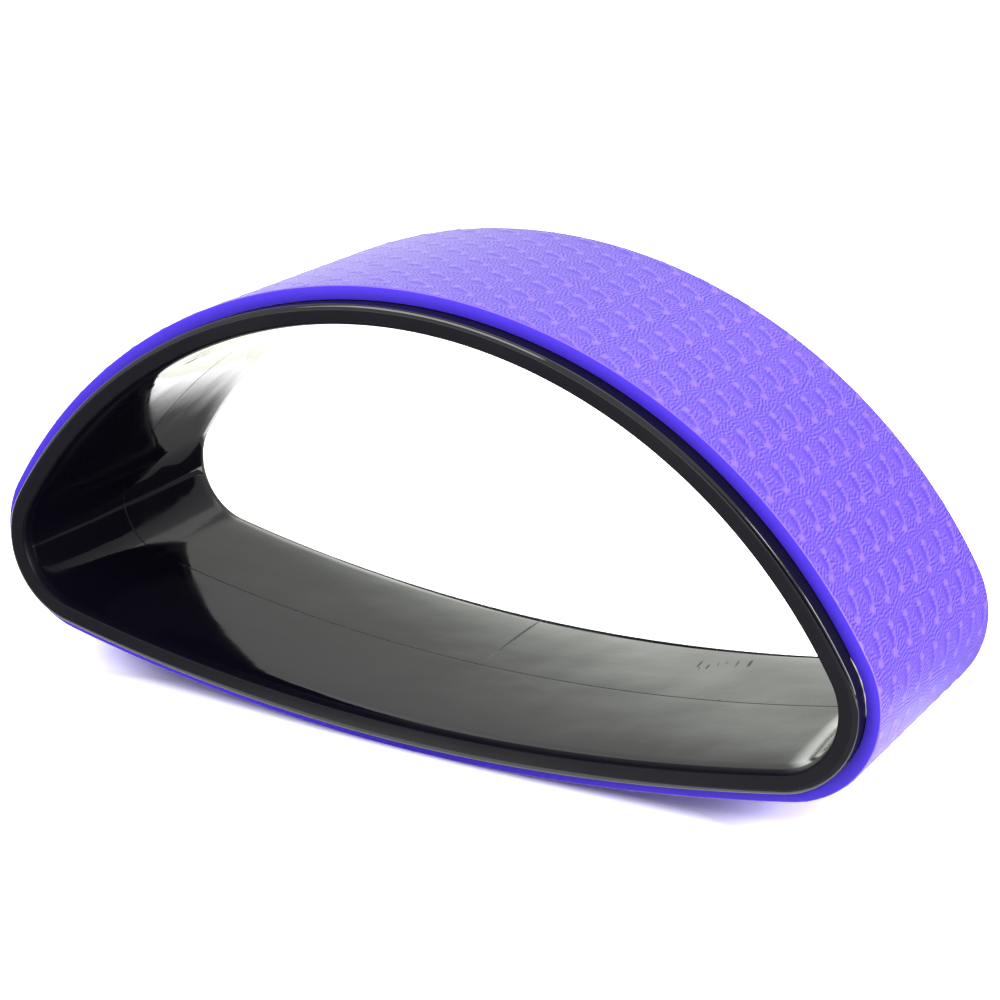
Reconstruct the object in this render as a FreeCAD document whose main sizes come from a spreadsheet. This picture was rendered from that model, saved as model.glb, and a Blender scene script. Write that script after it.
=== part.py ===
import FreeCAD, Part
import os
import Sketcher
from FreeCAD import Placement, Rotation, Vector

# Half-moon yoga wheel: a rigid D-shaped ring, moulded as two half shells, with a foam strip glued round it.
# X runs along the length, Y across the width with the front rim at -Y, and Z up.
# The origin is on the underside, at the middle of the length and of the width. Lengths are in millimetres.

# Driving dimensions: name, value, meaning
DIMENSIONS = [
    ("body_length", "394", "overall length, foam included"),
    ("body_height", "188", "overall height, foam included"),
    ("body_width", "130", "overall width, from rim face to rim face"),
    ("end_radius", "41", "radius of the two rounded ends, outside the foam"),
    ("rocker_radius", "780", "radius of the curved underside, outside the foam"),
    ("pad_thickness", "5.7", "foam strip"),
    ("pad_width", "115", "foam strip"),
    ("pad_joint_gap", "0.4", "gap where the two ends of the strip meet underneath"),
    ("film_thickness", "0.2", "contact adhesive under the strip"),
    ("film_inset", "1.5", "how far the adhesive stays back from the strip's edges"),
    ("bond_clearance", "0.05", "gap each side of the adhesive"),
    ("rim_depth", "8.4", "rim face, from the outer wall to the opening"),
    ("rim_thickness", "3", "end wall of the shell behind the rim face"),
    ("rim_outer_bevel", "1.5", "bevel between the rim face and the outer wall"),
    ("rim_inner_bevel", "2", "bevel between the rim face and the opening"),
    ("wall_thickness", "2.5", "outer and inner wall of the shell"),
    ("draft_rise", "1.6", "how far the opening narrows from the rim to the seam"),
    ("rib_thickness", "1.8", "ribs between the two walls"),
    ("rib_setback", "3", "ribs end this far from the seam"),
    ("tongue_length", "2", "tongue of the front shell, beyond the seam"),
    ("tongue_thickness", "0.9", "tongue of the front shell"),
    ("tongue_clearance", "0.1", "gap each side of the tongue in its groove"),
    ("cement_thickness", "0.3", "cement between the tongue's tip and the groove's floor"),
    ("seam_reveal", "0.3", "width of the fine line where the two inner walls meet"),
    ("cut_overrun", "1", "how far cuts run past the solid"),
    ("crown_rib_count", "9", "ribs along the crown"),
    ("rocker_rib_count", "6", "ribs along the underside"),
]

# Sizes that follow from the driving dimensions. A depth is measured inwards from the outside of the foam.
DERIVED = [
    ("half_width", "=body_width / 2"),
    ("end_centre_x", "=body_length / 2 - end_radius"),
    ("end_centre_z", "=rocker_radius - sqrt((rocker_radius - end_radius) ^ 2 - end_centre_x ^ 2)"),
    ("end_rise", "=body_height - end_centre_z"),
    ("crown_radius", "=(end_centre_x ^ 2 + end_rise ^ 2 - end_radius ^ 2) / (2 * (end_rise - end_radius))"),
    ("crown_centre_z", "=body_height - crown_radius"),
    ("crown_slope", "=atan((end_centre_z - crown_centre_z) / end_centre_x)"),
    ("rocker_slope", "=asin(end_centre_x / (rocker_radius - end_radius))"),
    ("crown_rib_pitch", "=(180 deg - 2 * crown_slope) / crown_rib_count"),
    ("rocker_rib_pitch", "=2 * rocker_slope / rocker_rib_count"),
    ("film_outer_depth", "=pad_thickness + bond_clearance"),
    ("film_inner_depth", "=film_outer_depth + film_thickness"),
    ("film_width", "=pad_width - 2 * film_inset"),
    ("seat_depth", "=film_inner_depth + bond_clearance"),
    ("channel_depth", "=seat_depth + wall_thickness"),
    ("opening_depth", "=seat_depth + rim_depth"),
    ("opening_seam_depth", "=opening_depth + draft_rise"),
    ("rib_top_depth", "=seat_depth + wall_thickness / 2"),
    ("rib_foot_depth", "=opening_depth - (wall_thickness - draft_rise) / 2"),
    ("tongue_margin", "=(wall_thickness - tongue_thickness) / 2"),
    ("outer_tongue_top", "=seat_depth + tongue_margin"),
    ("outer_tongue_foot", "=outer_tongue_top + tongue_thickness"),
    ("inner_tongue_foot", "=opening_seam_depth - tongue_margin"),
    ("inner_tongue_top", "=inner_tongue_foot - tongue_thickness"),
    ("groove_length", "=tongue_length + cement_thickness"),
]

# A sketch in the outline's plane faces the front, so positions and lengths count towards the front
FRONT = 1
REAR = -1

# A sketch's own upright direction, and the turn that gives a placement its axis before the expression sets it
FACING = Vector(0, 0, 1)
ANY_TURN = 1

# What a sketch calls the ends and centre of its lines and arcs, its origin and its upright axis
START_POINT, END_POINT, CENTRE_POINT = range(1, 4)
ORIGIN, UPRIGHT_AXIS = range(-1, -3, -1)

doc = FreeCAD.newDocument("half_moon_wheel")
sheet = doc.addObject("Spreadsheet::Sheet", "Sizes")
for row, (alias, value, meaning) in enumerate(DIMENSIONS, start=1):
    sheet.set(f"A{row}", alias)
    sheet.set(f"B{row}", value)
    sheet.set(f"C{row}", meaning)
    sheet.setAlias(f"B{row}", alias)
for row, (alias, formula) in enumerate(DERIVED, start=1):
    sheet.set(f"E{row}", alias)
    sheet.set(f"F{row}", formula)
    sheet.setAlias(f"F{row}", alias)
doc.recompute()


def new_body(label):
    """One sub-part, whose label names its file."""
    body = doc.addObject("PartDesign::Body", label)
    body.Label = label
    body.Placement = Placement()
    return body


def origin_plane(body, role):
    """The body's own origin plane of that role."""
    return next(feature for feature in body.Origin.OriginFeatures if feature.Role == role)


def new_sketch(body, name, position):
    """Sketch in the outline's plane, moved from mid width towards the front by an expression."""
    sketch = body.newObject("Sketcher::SketchObject", name)
    sketch.AttachmentSupport = [(origin_plane(body, "XZ_Plane"), "")]
    sketch.MapMode = "FlatFace"
    sketch.setExpression("AttachmentOffset.Base.z", position)
    return sketch


def constrain(sketch, kind, *where, size):
    """Add a dimension to a sketch and bind it to an expression."""
    value = float(sketch.evalExpression(size))
    index = sketch.addConstraint(Sketcher.Constraint(kind, *where, value))
    sketch.setExpression(f"Constraints[{index}]", size)


def add_outline(sketch, depth):
    """Half-moon outline of four tangent arcs, set inwards by a depth."""
    inset = float(sketch.evalExpression(depth))
    up = sheet.crown_slope.getValueAs("rad").Value
    down = sheet.rocker_slope.getValueAs("rad").Value
    quarter = FreeCAD.Units.Quantity("90 deg").getValueAs("rad").Value
    low = down - quarter
    half_turn = 2 * quarter

    def arc(centre, radius, start, end):
        circle = Part.Circle(centre, FACING, radius - inset)
        return sketch.addGeometry(Part.ArcOfCircle(circle, start, end))

    end_centre = Vector(sheet.end_centre_x, sheet.end_centre_z, 0)
    far_centre = Vector(-sheet.end_centre_x, sheet.end_centre_z, 0)
    right = arc(end_centre, sheet.end_radius, low, up)
    crown = arc(Vector(0, sheet.crown_centre_z, 0), sheet.crown_radius, up, half_turn - up)
    left = arc(far_centre, sheet.end_radius, half_turn - up, half_turn - low)
    rocker = arc(Vector(0, sheet.rocker_radius, 0), sheet.rocker_radius, half_turn - low, 2 * half_turn + low)
    ring = [right, crown, left, rocker]
    for before, after in zip(ring, ring[1:] + ring[:1]):
        sketch.addConstraint(Sketcher.Constraint("Tangent", before, END_POINT, after, START_POINT))
    for centred in (crown, rocker):
        sketch.addConstraint(Sketcher.Constraint("PointOnObject", centred, CENTRE_POINT, UPRIGHT_AXIS))
    sketch.addConstraint(Sketcher.Constraint("Equal", left, right))
    constrain(sketch, "Radius", right, size=f"Sizes.end_radius - ({depth})")
    constrain(sketch, "Radius", crown, size=f"Sizes.crown_radius - ({depth})")
    constrain(sketch, "Radius", rocker, size=f"Sizes.rocker_radius - ({depth})")
    constrain(sketch, "DistanceX", ORIGIN, START_POINT, right, CENTRE_POINT, size="Sizes.end_centre_x")
    constrain(sketch, "DistanceY", ORIGIN, START_POINT, rocker, CENTRE_POINT, size="Sizes.rocker_radius")


def outline_sketch(body, name, position, *depths):
    """Sketch of nested half-moon outlines, one for each depth."""
    sketch = new_sketch(body, name, position)
    for depth in depths:
        add_outline(sketch, depth)
    return sketch


def add_rectangle(sketch, width, low, high):
    """Rectangle centred on the sketch's upright axis, between two heights."""
    half = float(sketch.evalExpression(width)) / 2
    bottom_y = float(sketch.evalExpression(low))
    top_y = float(sketch.evalExpression(high))
    across_and_up = [(-half, bottom_y), (half, bottom_y), (half, top_y), (-half, top_y)]
    corners = [Vector(across, up, 0) for across, up in across_and_up]
    sides = []
    for start, end in zip(corners, corners[1:] + corners[:1]):
        sides.append(sketch.addGeometry(Part.LineSegment(start, end)))
    bottom, right, top, left = sides
    for before, after in zip(sides, sides[1:] + sides[:1]):
        sketch.addConstraint(Sketcher.Constraint("Coincident", before, END_POINT, after, START_POINT))
    bottom_ends = (bottom, START_POINT, bottom, END_POINT)
    sketch.addConstraint(Sketcher.Constraint("Symmetric", *bottom_ends, UPRIGHT_AXIS))
    sketch.addConstraint(Sketcher.Constraint("Horizontal", top))
    for upright in (right, left):
        sketch.addConstraint(Sketcher.Constraint("Vertical", upright))
    constrain(sketch, "Distance", bottom, size=width)
    constrain(sketch, "DistanceY", ORIGIN, START_POINT, bottom, START_POINT, size=low)
    constrain(sketch, "DistanceY", ORIGIN, START_POINT, top, START_POINT, size=high)


def extrude(body, kind, name, sketch, length, towards):
    """Pad or pocket a sketch towards the front or the rear."""
    feature = body.newObject(f"PartDesign::{kind}", name)
    feature.Profile = sketch
    feature.setExpression("Length", length)
    # a pad runs the way its sketch faces, a pocket the other way
    runs_to_front = kind == "Pad"
    feature.Reversed = runs_to_front != (towards == FRONT)
    doc.recompute()
    return feature


def loft(body, kind, name, first, last):
    """Straight-sided loft between two sketches."""
    feature = body.newObject(f"PartDesign::{kind}", name)
    feature.Profile = first
    feature.Sections = [last]
    feature.Ruled = True
    doc.recompute()
    return feature


def edge_names(feature, wire):
    """Names of a feature's edges that a wire runs along."""
    return [
        f"Edge{number}"
        for number, edge in enumerate(feature.Shape.Edges, start=1)
        if any(edge.isSame(other) for other in wire.Edges)
    ]


def end_face(feature, towards):
    """The flat face that lies furthest to the front or the rear."""
    flat = [face for face in feature.Shape.Faces if face.BoundBox.YLength < Part.Precision.confusion()]
    return min(flat, key=lambda face: towards * face.BoundBox.YMin)


def bevel_edges(body, name, wire, size):
    """Bevel the edges of the body's last feature that a wire runs along."""
    base = body.Tip
    feature = body.newObject("PartDesign::Chamfer", name)
    feature.Base = (base, edge_names(base, wire))
    feature.setExpression("Size", size)
    doc.recompute()
    return feature


def drafted(depth, reach):
    """Depth of a wall that leans out from the seam, at a distance from the seam."""
    return f"{depth} + Sizes.draft_rise * (1 - ({reach}) / Sizes.half_width)"


def add_rib(body, name, side, centre, radius, turn):
    """Rib across the channel, drawn on a sketch whose origin is the centre of the arc that it stands on."""
    centre_x, centre_z = centre
    sketch = new_sketch(body, f"{name}_sketch", f"{side} * Sizes.rib_setback")
    sketch.AttachmentOffset = Placement(Vector(), Rotation(FACING, ANY_TURN))
    sketch.setExpression("AttachmentOffset.Base.x", centre_x)
    sketch.setExpression("AttachmentOffset.Base.y", centre_z)
    sketch.setExpression("AttachmentOffset.Rotation.Angle", turn)
    add_rectangle(
        sketch,
        "Sizes.rib_thickness",
        f"{radius} - Sizes.rib_foot_depth",
        f"{radius} - Sizes.rib_top_depth",
    )
    doc.recompute()
    reach = "Sizes.half_width - Sizes.rib_setback - Sizes.rim_thickness"
    return sketch, extrude(body, "Pad", name, sketch, reach, side)


def repeat_rib(body, name, sketch, rib, pitch, count):
    """Repeat a rib along its arc."""
    pattern = body.newObject("PartDesign::PolarPattern", name)
    pattern.Originals = [rib]
    pattern.Axis = (sketch, ["N_Axis"])
    pattern.setExpression("Angle", f"{pitch} * ({count} - 1)")
    pattern.setExpression("Occurrences", count)
    body.Tip = pattern
    doc.recompute()


def mirror_rib(body, name, rib):
    """Repeat a rib at the other end of the body."""
    mirrored = body.newObject("PartDesign::Mirrored", name)
    mirrored.Originals = [rib]
    mirrored.MirrorPlane = (origin_plane(body, "YZ_Plane"), [""])
    body.Tip = mirrored
    doc.recompute()


def add_ribs(body, side):
    """Ribs along the crown, along the underside and at the two ends."""
    crown_start = "Sizes.crown_rib_pitch * (1 - Sizes.crown_rib_count) / 2"
    crown_centre = ("0", "Sizes.crown_centre_z")
    sketch, rib = add_rib(body, "crown_rib", side, crown_centre, "Sizes.crown_radius", crown_start)
    repeat_rib(body, "crown_ribs", sketch, rib, "Sizes.crown_rib_pitch", "Sizes.crown_rib_count")

    rocker_start = "180 deg + Sizes.rocker_rib_pitch * (1 - Sizes.rocker_rib_count) / 2"
    rocker_centre = ("0", "Sizes.rocker_radius")
    sketch, rib = add_rib(body, "rocker_rib", side, rocker_centre, "Sizes.rocker_radius", rocker_start)
    repeat_rib(body, "rocker_ribs", sketch, rib, "Sizes.rocker_rib_pitch", "Sizes.rocker_rib_count")

    end_turn = "(Sizes.crown_slope + Sizes.rocker_slope - 90 deg) / 2 - 90 deg"
    end_centre = ("Sizes.end_centre_x", "Sizes.end_centre_z")
    sketch, rib = add_rib(body, "end_rib", side, end_centre, "Sizes.end_radius", end_turn)
    mirror_rib(body, "end_ribs", rib)


def half_shell(label, side):
    """Ring of two walls joined by the rim, open towards the seam at mid width."""
    body = new_body(label)
    block = outline_sketch(body, "block_outline", "0", "Sizes.seat_depth")
    extrude(body, "Pad", "block", block, "Sizes.half_width", side)
    channel = outline_sketch(body, "channel_outline", "0", "Sizes.channel_depth")
    extrude(body, "Pocket", "channel", channel, "Sizes.half_width - Sizes.rim_thickness", side)

    # the inner wall leans outwards from the seam to the rim, so that the shell leaves its mould
    wall_depth = "Sizes.opening_depth - Sizes.wall_thickness"
    wall_reaches = ["Sizes.seam_reveal / 2", "Sizes.half_width - Sizes.rim_thickness / 2"]
    walls = []
    for name, reach in zip(("wall_at_seam", "wall_at_rim"), wall_reaches):
        walls.append(outline_sketch(body, name, f"{side} * ({reach})", drafted(wall_depth, reach)))
    loft(body, "AdditiveLoft", "inner_wall", *walls)
    cut_reaches = ["0 - Sizes.cut_overrun", "Sizes.half_width + Sizes.cut_overrun"]
    cuts = []
    for name, reach in zip(("opening_at_seam", "opening_at_rim"), cut_reaches):
        cuts.append(outline_sketch(body, name, f"{side} * ({reach})", drafted("Sizes.opening_depth", reach)))
    opened = loft(body, "SubtractiveLoft", "opening", *cuts)

    outer_rim = end_face(opened, side).OuterWire
    bevelled = bevel_edges(body, "rim_outer_edge", outer_rim, "Sizes.rim_outer_bevel")
    rim = end_face(bevelled, side)
    inner_rim = next(wire for wire in rim.Wires if not wire.isSame(rim.OuterWire))
    bevel_edges(body, "rim_inner_edge", inner_rim, "Sizes.rim_inner_bevel")
    add_ribs(body, side)
    return body


def add_tongues(body, side):
    """Tongues on both walls of a half shell, which reach past the seam into the other one."""
    sketch = outline_sketch(
        body,
        "tongue_outlines",
        f"{side} * Sizes.tongue_length",
        "Sizes.outer_tongue_top",
        "Sizes.outer_tongue_foot",
        "Sizes.inner_tongue_top",
        "Sizes.inner_tongue_foot",
    )
    extrude(body, "Pad", "tongues", sketch, "2 * Sizes.tongue_length", -side)


def cut_grooves(body, side):
    """Grooves in both walls of a half shell, for the tongues of the other one."""
    sketch = outline_sketch(
        body,
        "groove_outlines",
        "0",
        "Sizes.outer_tongue_top - Sizes.tongue_clearance",
        "Sizes.outer_tongue_foot + Sizes.tongue_clearance",
        "Sizes.inner_tongue_top - Sizes.tongue_clearance",
        "Sizes.inner_tongue_foot + Sizes.tongue_clearance",
    )
    extrude(body, "Pocket", "grooves", sketch, "Sizes.groove_length", side)


def band(label, outer_depth, inner_depth, width):
    """Band round the half moon, centred on mid width."""
    body = new_body(label)
    sketch = outline_sketch(body, "band_outlines", f"{width} / 2", outer_depth, inner_depth)
    extrude(body, "Pad", "band", sketch, width, REAR)
    return body


def foam_strip(label):
    """Foam strip, cut square, whose ends meet under the middle of the body."""
    body = band(label, "0", "Sizes.pad_thickness", "Sizes.pad_width")
    sketch = new_sketch(body, "joint_outline", "Sizes.pad_width / 2 + Sizes.cut_overrun")
    add_rectangle(
        sketch,
        "Sizes.pad_joint_gap",
        "0 - Sizes.cut_overrun",
        "Sizes.pad_thickness + Sizes.cut_overrun",
    )
    extrude(body, "Pocket", "joint", sketch, "Sizes.pad_width + 2 * Sizes.cut_overrun", REAR)
    return body


def cement_bead(label, top_depth, foot_depth):
    """Cement that fills a groove between the tongue's tip and the groove's floor."""
    body = new_body(label)
    sketch = outline_sketch(body, "bead_outlines", f"{REAR} * Sizes.tongue_length", top_depth, foot_depth)
    extrude(body, "Pad", "bead", sketch, "Sizes.cement_thickness", REAR)
    return body


def check_document(bodies):
    """Stop if any object failed to build, or any sub-part isn't one sound solid."""
    for item in doc.Objects:
        if "Invalid" in item.State or "Error" in item.State:
            raise RuntimeError(f"{item.Label} failed: {item.State}")
    for body in bodies:
        shape = body.Shape
        if shape.isNull() or not shape.isValid() or len(shape.Solids) != 1:
            raise RuntimeError(f"{body.Label} is not one sound solid")


front_shell = half_shell("front_shell", FRONT)
add_tongues(front_shell, FRONT)
rear_shell = half_shell("rear_shell", REAR)
cut_grooves(rear_shell, REAR)
foam_pad = foam_strip("foam_pad")
pad_adhesive = band("pad_adhesive", "Sizes.film_outer_depth", "Sizes.film_inner_depth", "Sizes.film_width")
outer_cement = cement_bead("outer_seam_cement", "Sizes.outer_tongue_top", "Sizes.outer_tongue_foot")
inner_cement = cement_bead("inner_seam_cement", "Sizes.inner_tongue_top", "Sizes.inner_tongue_foot")

doc.recompute()
sub_parts = [front_shell, rear_shell, foam_pad, pad_adhesive, outer_cement, inner_cement]
check_document(sub_parts)
os.makedirs("parts", exist_ok=True)
for sub_part in sub_parts:
    box = sub_part.Shape.optimalBoundingBox()
    print(f"{sub_part.Label}: {sub_part.Shape.Volume:.0f} cubic mm, {len(sub_part.Shape.Faces)} faces,"
          f" {box.XLength:.2f} x {box.YLength:.2f} x {box.ZLength:.2f} mm")
    sub_part.Shape.exportStep(f"parts/{sub_part.Label}.step")
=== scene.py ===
# %% [markdown]
# # Half-moon yoga wheel
# The real thing is a rigid ring, shaped like a half moon lying on its belly. Two black shells are moulded
# in ABS and joined at mid width, and a strip of violet foam with a raised pattern is glued round the outside.
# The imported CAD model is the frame: it gives every size and place. The shells and the strip get finer meshes
# here, a bead of glue is added, and the glue film and the cement keep their CAD shapes and get finishes.

# %% Load the frame
import math

import bmesh
import bpy
import numpy as np
from mathutils import Matrix, Vector


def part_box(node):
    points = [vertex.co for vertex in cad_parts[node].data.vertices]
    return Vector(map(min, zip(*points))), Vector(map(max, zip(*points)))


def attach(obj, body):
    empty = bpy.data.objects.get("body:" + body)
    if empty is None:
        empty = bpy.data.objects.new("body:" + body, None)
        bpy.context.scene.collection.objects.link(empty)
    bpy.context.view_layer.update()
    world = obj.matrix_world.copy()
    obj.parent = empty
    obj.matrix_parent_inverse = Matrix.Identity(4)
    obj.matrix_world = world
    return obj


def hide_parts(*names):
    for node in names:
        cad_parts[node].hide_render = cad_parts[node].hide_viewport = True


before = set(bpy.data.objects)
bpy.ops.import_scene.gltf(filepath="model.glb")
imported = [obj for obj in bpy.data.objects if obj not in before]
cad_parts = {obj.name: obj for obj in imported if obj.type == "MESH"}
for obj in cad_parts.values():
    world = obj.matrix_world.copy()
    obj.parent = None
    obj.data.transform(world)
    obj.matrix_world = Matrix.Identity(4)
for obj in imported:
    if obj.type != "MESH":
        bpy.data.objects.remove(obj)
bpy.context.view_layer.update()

MM = 0.001
print("CAD nodes:", sorted(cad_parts))

# %% [markdown]
# ## The outline
# Seen from the front the wheel is four arcs that run into each other: a long crown, two small round ends and
# a very flat underside. Each arc keeps its centre when the outline is set inwards, so any section spun about
# these four centres, one after the other, follows the half moon exactly. The overall sizes are read from the
# CAD boxes, and the two radii are the ones the CAD model was drawn with.

# %% Work out the four arcs
pad_low, pad_high = (Vector(corner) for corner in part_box("foam_pad"))
LENGTH = pad_high.x - pad_low.x
HEIGHT = pad_high.z - pad_low.z
WIDTH = 2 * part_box("rear_shell")[1][1]
END_RADIUS = 41 * MM
ROCKER_RADIUS = 780 * MM

end_x = LENGTH / 2 - END_RADIUS
end_z = ROCKER_RADIUS - math.sqrt((ROCKER_RADIUS - END_RADIUS) ** 2 - end_x ** 2)
rise = HEIGHT - end_z
crown_radius = (end_x ** 2 + rise ** 2 - END_RADIUS ** 2) / (2 * (rise - END_RADIUS))
crown_z = HEIGHT - crown_radius
crown_slope = math.atan2(end_z - crown_z, end_x)
rocker_slope = math.asin(end_x / (ROCKER_RADIUS - END_RADIUS))

rocker_turn = rocker_slope
end_turn = math.pi / 2 - rocker_slope + crown_slope
crown_turn = math.pi - 2 * crown_slope
print(f"crown radius: {crown_radius / MM:.1f} mm")
print(f"crown and ends turn {math.degrees(crown_turn):.1f} and {math.degrees(end_turn):.1f} degrees")


def outline_depth(x, z):
    """How far a place lies inside the outside of the foam."""
    side = abs(x)
    turn = math.atan2(z - end_z, side - end_x)
    if rocker_slope - math.pi / 2 < turn < crown_slope:
        return END_RADIUS - math.hypot(side - end_x, z - end_z)
    return min(crown_radius - math.hypot(x, z - crown_z), ROCKER_RADIUS - math.hypot(x, z - ROCKER_RADIUS))


# %% [markdown]
# ## Working by hand, in code
# A few small tools stand in for the mouse. One starts a piece from a flat square in the plane across the
# ring at the middle of the underside, where height is simply the depth below the outside of the foam. One
# selects points or edges by where they are, and one extrudes them. One spins the section round the four
# arcs, from the underside up the right end, over the crown and back. The last two close the mesh and shade
# it smooth.

# %% Tools for shaping a section and sweeping it
SECTION_TILT = (0, math.pi / 2, 0)
DEGREES_PER_STEP = 2
TOUCHING = 0.01 * MM


def start_section(name, low, high):
    """New piece: a square across the ring at mid underside, between two (across, depth) corners."""
    bpy.ops.object.select_all(action="DESELECT")
    bpy.ops.mesh.primitive_plane_add(size=1, rotation=SECTION_TILT, calc_uvs=False)
    piece = bpy.context.object
    piece.name = name
    piece.data.name = name
    bpy.ops.object.transform_apply(location=True, rotation=True, scale=True)
    bpy.ops.object.mode_set(mode="EDIT")
    size = Vector(high) - Vector(low)
    middle = (Vector(high) + Vector(low)) / 2
    bpy.ops.transform.resize(value=(1, size.x, size.y), center_override=(0, 0, 0))
    bpy.ops.transform.translate(value=(0, middle.x, middle.y))
    return piece


def pick(piece, kind, wanted):
    """In edit mode, select only the verts or edges whose middle passes a test of (across, depth)."""
    bpy.ops.mesh.select_mode(type={"verts": "VERT", "edges": "EDGE"}[kind])
    bpy.ops.mesh.select_all(action="DESELECT")
    mesh = bmesh.from_edit_mesh(piece.data)
    for element in getattr(mesh, kind):
        corners = [element] if kind == "verts" else element.verts
        middle = sum((corner.co for corner in corners), Vector()) / len(corners)
        element.select_set(wanted(middle.y, middle.z))
    mesh.select_flush_mode()
    bmesh.update_edit_mesh(piece.data)


def near(value, target):
    """Whether two measures are the same."""
    return abs(value - target) < TOUCHING


def push_out(across, depth):
    """Extrude what is selected."""
    bpy.ops.mesh.extrude_region_move(TRANSFORM_OT_translate={"value": (0, across, depth)})


def sweep(step):
    """Spin the section round the half moon in steps of about that length."""
    arcs = [
        (0, ROCKER_RADIUS, ROCKER_RADIUS, rocker_turn),
        (end_x, end_z, END_RADIUS, end_turn),
        (0, crown_z, crown_radius, crown_turn),
        (-end_x, end_z, END_RADIUS, end_turn),
        (0, ROCKER_RADIUS, ROCKER_RADIUS, rocker_turn),
    ]
    bpy.ops.mesh.select_all(action="SELECT")
    for centre_x, centre_z, radius, turn in arcs:
        steps = math.ceil(max(radius * turn / step, math.degrees(turn) / DEGREES_PER_STEP))
        bpy.ops.mesh.spin(steps=steps, angle=turn, center=(centre_x, 0, centre_z), axis=(0, 1, 0))


def close_mesh():
    """Merge doubles, turn the faces outwards and leave edit mode."""
    bpy.ops.mesh.select_all(action="SELECT")
    bpy.ops.mesh.remove_doubles(threshold=TOUCHING)
    bpy.ops.mesh.normals_make_consistent(inside=False)
    bpy.ops.object.mode_set(mode="OBJECT")


def smooth_shading(piece, sharp_angle):
    """Smooth shading whose flats stay flat beside the rounds."""
    bpy.ops.object.select_all(action="DESELECT")
    piece.select_set(True)
    bpy.context.view_layer.objects.active = piece
    bpy.ops.object.shade_smooth_by_angle(angle=math.radians(sharp_angle))
    flats = piece.modifiers.new("flats", "WEIGHTED_NORMAL")
    flats.keep_sharp = True
    bpy.ops.object.modifier_apply(modifier=flats.name)


# %% [markdown]
# ## The front shell
# The shell is a C in section: an outer wall under the foam, the flat rim that shows at the front, and an
# inner wall. It could be a curve with a bevel profile, but spinning a drawn section keeps real radii
# everywhere. The section starts as a small square at the rim and grows by extrusion. The points that are
# left along straight edges are then dissolved, so that only true corners remain.

# %% Draw the shell's section
SEAT_DEPTH = 6.0 * MM
RIM_DEPTH = 8.4 * MM
WALL = 2.5 * MM
RIM_THICKNESS = 3.0 * MM
SEAM_REVEAL = 0.45 * MM
CORNER_MARGIN = 0.1 * MM

front = -WIDTH / 2
rim_back = front + RIM_THICKNESS
inner_depth = SEAT_DEPTH + RIM_DEPTH
seam_edge = -SEAM_REVEAL / 2

front_shell = start_section("front_shell_moulding", (front, SEAT_DEPTH), (rim_back, SEAT_DEPTH + WALL))
pick(front_shell, "edges", lambda across, depth: near(depth, SEAT_DEPTH + WALL))
push_out(0, RIM_DEPTH - 2 * WALL)
push_out(0, WALL)
pick(front_shell, "edges", lambda across, depth: near(across, rim_back) and depth < SEAT_DEPTH + WALL)
push_out(-rim_back, 0)
pick(front_shell, "edges", lambda across, depth: near(across, rim_back) and depth > inner_depth - WALL)
push_out(seam_edge - rim_back, 0)

bpy.ops.mesh.select_all(action="SELECT")
bpy.ops.mesh.dissolve_faces()
inside_rim = (SEAT_DEPTH + CORNER_MARGIN, inner_depth - CORNER_MARGIN)
pick(front_shell, "verts", lambda across, depth:
     (near(across, front) and inside_rim[0] < depth < inside_rim[1])
     or (near(across, rim_back) and not inside_rim[0] < depth < inside_rim[1]))
bpy.ops.mesh.dissolve_verts()
print(f"corners: {len(bmesh.from_edit_mesh(front_shell.data).verts)}")

# %% [markdown]
# ## Rounds and a crowned wall
# Three corners of the section are bevelled to quarter circles, and the rim's two are then stretched to
# quarter ovals, because the real edges run out gently. The CAD model leaves them as bevels, but on gloss
# black it is the rounds that catch the light. The inner wall bulges a little towards mid width and falls
# away faster near its lip. That bend is what spreads the room's reflection across the wall.

# %% Round the rim's edges and crown the inner wall
OUTER_ROUND, OUTER_STRETCH, OUTER_SEGMENTS = 1.3 * MM, 2.0, 12
INNER_ROUND, INNER_STRETCH, INNER_SEGMENTS = 1.3 * MM, 6.5, 14
SEAM_ROUND, SEAM_SEGMENTS = 0.15 * MM, 3
ROUND_PROFILE = 0.5
WALL_CROWN, WALL_POWER = 1.6 * MM, 2
LIP_CROWN, LIP_POWER = 0.6 * MM, 8
WALL_CUTS = 14
A_HAIR = 0.02 * MM

inner_run = INNER_ROUND * INNER_STRETCH
for corner_across, corner_depth, radius, segments in [
    (front, SEAT_DEPTH, OUTER_ROUND, OUTER_SEGMENTS),
    (front, inner_depth, INNER_ROUND, INNER_SEGMENTS),
    (seam_edge, inner_depth, SEAM_ROUND, SEAM_SEGMENTS),
]:
    pick(front_shell, "verts", lambda across, depth:
         near(across, corner_across) and near(depth, corner_depth))
    bpy.ops.mesh.bevel(affect="VERTICES", offset=radius, segments=segments, profile=ROUND_PROFILE)

pick(front_shell, "verts", lambda across, depth:
     across < front + OUTER_ROUND + A_HAIR and depth < SEAT_DEPTH + OUTER_ROUND + A_HAIR)
bpy.ops.transform.resize(value=(1, 1, OUTER_STRETCH), center_override=(0, 0, SEAT_DEPTH))
pick(front_shell, "verts", lambda across, depth:
     across < front + INNER_ROUND + A_HAIR and depth > inner_depth - INNER_ROUND - A_HAIR)
bpy.ops.transform.resize(value=(1, INNER_STRETCH, 1), center_override=(0, front, 0))

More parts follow.
